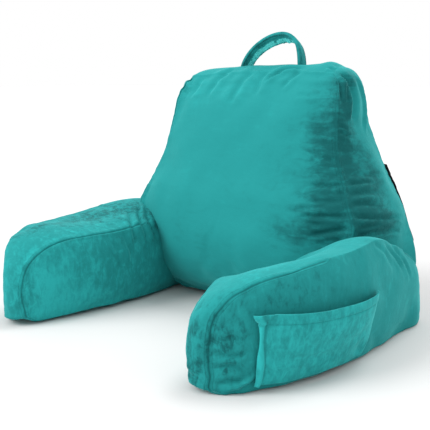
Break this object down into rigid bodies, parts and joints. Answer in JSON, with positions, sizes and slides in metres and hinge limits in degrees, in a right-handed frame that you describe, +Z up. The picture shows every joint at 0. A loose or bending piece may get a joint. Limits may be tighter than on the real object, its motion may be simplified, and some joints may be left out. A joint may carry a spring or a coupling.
{
  "type": "reading pillow",
  "caption": "Free-standing reading pillow: a stuffed wedge backrest with two bolster arms, a carrying handle on top, an open pocket on the right arm and a wide one on the back",
  "frame": {"origin": "on the floor, under the middle of the backrest's flat foot", "axes": "+Z up; the backrest faces -Y, and the arms reach out along -Y; +X is the side of the arm with the pocket, which is on the sitter's left"},
  "size_m": [0.7136, 0.591, 0.5275],
  "materials": {
    "velour": "short crushed pile",
    "handle_velour": "short crushed pile",
    "pocket_cloth": "matt woven"
  },
  "bodies": {
    "root": {"backrest": "velour", "arm_left": "velour", "arm_right": "velour", "side_pocket": "velour", "handle": "handle_velour", "back_pocket": "pocket_cloth"}
  },
  "joints": []
}
